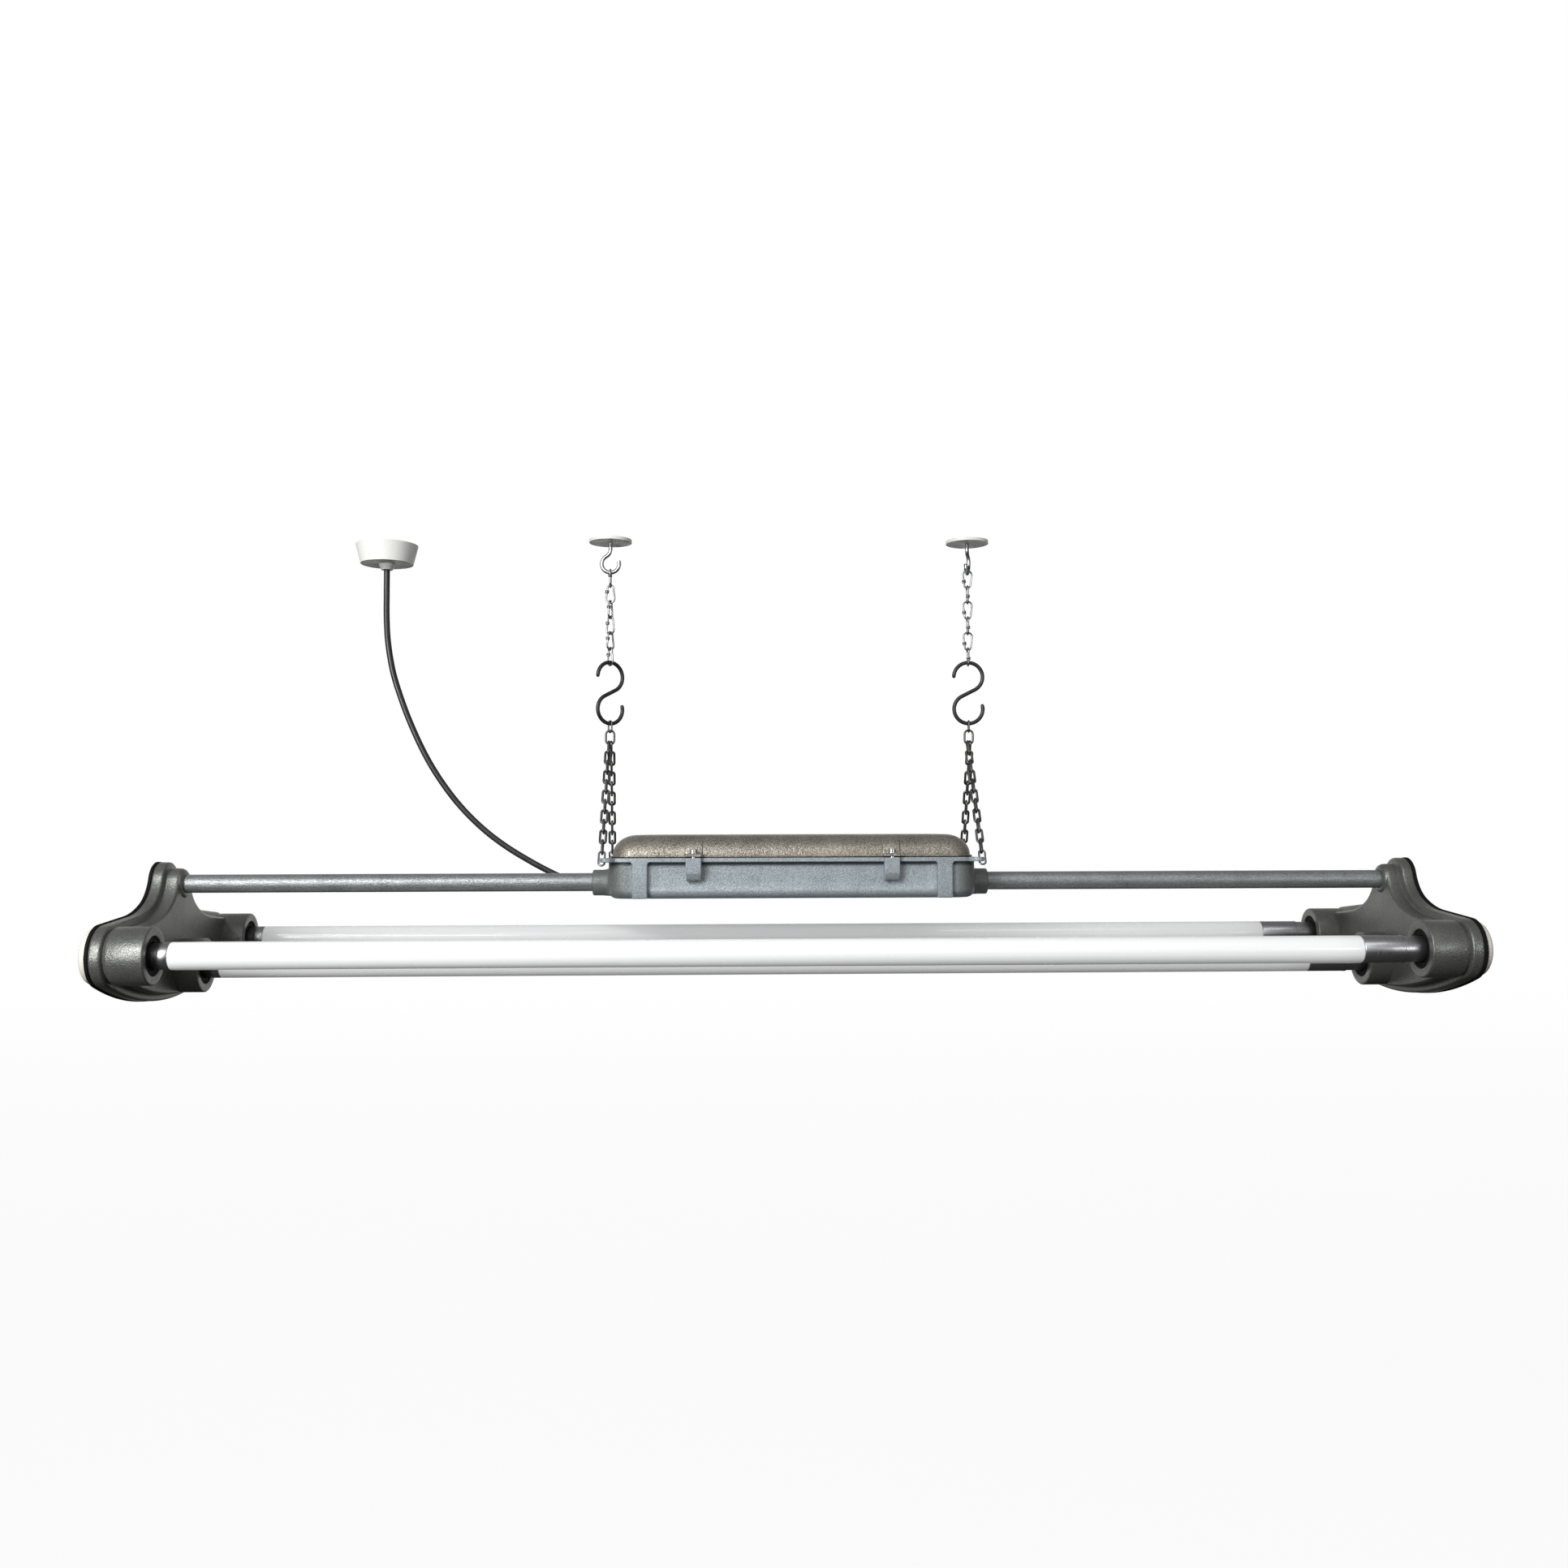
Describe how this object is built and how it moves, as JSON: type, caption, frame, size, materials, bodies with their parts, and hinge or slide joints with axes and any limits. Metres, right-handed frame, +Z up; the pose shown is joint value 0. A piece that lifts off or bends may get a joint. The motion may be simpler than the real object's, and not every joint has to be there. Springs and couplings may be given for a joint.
{
  "type": "hanging shop light",
  "caption": "Long industrial pendant light: tubes between cast end fittings, joined by conduits to a cast gear box that hangs on chains from ceiling hooks.",
  "frame": {"origin": "middle of the four ceiling screws of the two hook plates, on the ceiling", "axes": "+X along the tubes towards the right in the picture, +Y away from the picture's viewer, +Z up into the ceiling"},
  "size_m": [1.313, 0.3186, 0.4713],
  "materials": {
    "ceiling_steel": "satin white paint",
    "hook_zinc": "bright zinc plate",
    "rose_plastic": "matte white",
    "bright_chain": "bright zinc plate",
    "s_hook_black": "black lacquer",
    "dark_chain": "dark steel",
    "ring_steel": "bright steel",
    "hammered_grey": "hammered grey enamel",
    "gasket_rubber": "matte black",
    "tray_steel": "zinc plate",
    "zinc_screws": "zinc plate",
    "terminal_plastic": "matte ivory",
    "wire_insulation": "matte",
    "conduit_paint": "hammered grey-green enamel",
    "gland_metal": "satin",
    "cord_rubber": "satin black",
    "casting_paint": "smooth grey-green hammered enamel",
    "holder_plastic": "matte black",
    "lid_paint": "rough hammered brownish grey enamel",
    "cover_cream": "satin cream enamel",
    "opal_glass": "glossy opal white",
    "cap_aluminium": "brushed",
    "pin_brass": "bright",
    "board_white": "matte white",
    "rotor_plastic": "matte dark grey"
  },
  "bodies": {
    "ceiling": {"hook_plate_left": "ceiling_steel", "hook_plate_right": "ceiling_steel", "ceiling_hook_left": "hook_zinc", "ceiling_hook_right": "hook_zinc", "rose_base": "rose_plastic", "rose_cover": "rose_plastic", "rose_cord_grip": "rose_plastic"},
    "lamp": {"upper_chain_left": "bright_chain", "upper_chain_right": "bright_chain", "s_hook_left": "s_hook_black", "s_hook_right": "s_hook_black", "joining_links": "dark_chain", "lower_chain_front_left": "dark_chain", "lower_chain_rear_left": "dark_chain", "lower_chain_front_right": "dark_chain", "lower_chain_rear_right": "dark_chain", "lug_rings": "ring_steel", "gear_box": "hammered_grey", "lid_gasket": "gasket_rubber", "gear_tray": "tray_steel", "tray_screws": "zinc_screws", "terminal_block": "terminal_plastic", "internal_wiring": "wire_insulation", "conduit_left": "conduit_paint", "conduit_right": "conduit_paint", "conduit_lock_nuts": "zinc_screws", "cable_gland": "gland_metal", "cable_gland_nut": "gland_metal", "mains_cord": "cord_rubber", "end_casting_left": "casting_paint", "end_casting_right": "casting_paint", "end_gasket_left": "gasket_rubber", "end_gasket_right": "gasket_rubber", "lampholders_left": "holder_plastic", "lampholders_right": "holder_plastic", "holder_brackets": "tray_steel", "bracket_screws": "zinc_screws", "socket_seals": "gasket_rubber"},
    "lid": {"lid": "lid_paint", "lid_screws": "zinc_screws"},
    "end_cover_left": {"end_cover_left": "cover_cream", "cover_screws_left": "zinc_screws"},
    "end_cover_right": {"end_cover_right": "cover_cream", "cover_screws_right": "zinc_screws"},
    "front_tube": {"front_tube_glass": "opal_glass", "front_tube_caps": "cap_aluminium", "front_tube_pins": "pin_brass", "front_led_board": "board_white", "front_rotors": "rotor_plastic"},
    "middle_tube": {"middle_tube_glass": "opal_glass", "middle_tube_caps": "cap_aluminium", "middle_tube_pins": "pin_brass", "middle_led_board": "board_white", "middle_rotors": "rotor_plastic"},
    "rear_tube": {"rear_tube_glass": "opal_glass", "rear_tube_caps": "cap_aluminium", "rear_tube_pins": "pin_brass", "rear_led_board": "board_white", "rear_rotors": "rotor_plastic"}
  },
  "joints": [
    {"name": "swing", "type": "hinge", "parent": "ceiling", "child": "lamp", "pos_m": [0, 0, -0.03407], "axis": [1, 0, 0], "range_deg": [-15, 15], "deforming": ["mains_cord"]},
    {"name": "lid_lift", "type": "slide", "parent": "lamp", "child": "lid", "axis": [0, 0, 1], "range_m": [0, 0.06]},
    {"name": "left_cover_pull", "type": "slide", "parent": "lamp", "child": "end_cover_left", "axis": [-1, 0, 0], "range_m": [0, 0.03]},
    {"name": "right_cover_pull", "type": "slide", "parent": "lamp", "child": "end_cover_right", "axis": [1, 0, 0], "range_m": [0, 0.03]},
    {"name": "front_tube_turn", "type": "hinge", "parent": "lamp", "child": "front_tube", "pos_m": [0, -0.13, -0.418], "axis": [1, 0, 0], "range_deg": [0, 90]},
    {"name": "middle_tube_turn", "type": "hinge", "parent": "lamp", "child": "middle_tube", "pos_m": [0, 0, -0.437], "axis": [1, 0, 0], "range_deg": [0, 90]},
    {"name": "rear_tube_turn", "type": "hinge", "parent": "lamp", "child": "rear_tube", "pos_m": [0, 0.13, -0.418], "axis": [1, 0, 0], "range_deg": [0, 90]}
  ]
}
